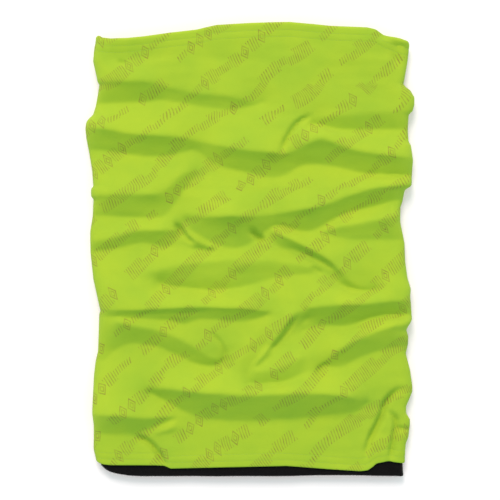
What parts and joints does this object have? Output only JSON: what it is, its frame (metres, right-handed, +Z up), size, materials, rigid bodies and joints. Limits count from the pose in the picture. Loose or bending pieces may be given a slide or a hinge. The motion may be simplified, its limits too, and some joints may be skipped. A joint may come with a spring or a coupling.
{
  "type": "neck gaiter",
  "caption": "Lined tubular neck gaiter lying flat and gathered: printed stretch shell over a dark fleece lining, open at both ends.",
  "frame": {"origin": "on the surface that the gaiter lies on, under the middle of its bounding box", "axes": "+Z up out of that surface, +Y along the tube towards its turned upper hem, +X across the tube to the wearer's left as it is seen from the front"},
  "size_m": [0.245, 0.339, 0.022],
  "materials": {
    "shell_knit": "matte high-visibility lime jersey with a tonal diagonal print",
    "lining_fleece": "brushed black fleece",
    "shell_thread": "lime polyester sewing thread",
    "lining_thread": "black polyester sewing thread",
    "label_satin": "off-white woven satin"
  },
  "bodies": {
    "root": {"shell": "shell_knit", "lining": "lining_fleece", "top_hem_needle_thread_outer": "shell_thread", "top_hem_needle_thread_inner": "shell_thread", "top_hem_looper_thread": "shell_thread", "bottom_hem_needle_thread_outer": "shell_thread", "bottom_hem_needle_thread_inner": "shell_thread", "bottom_hem_looper_thread": "lining_thread", "shell_seam_thread": "shell_thread", "lining_seam_thread": "lining_thread", "care_label": "label_satin"}
  },
  "joints": []
}
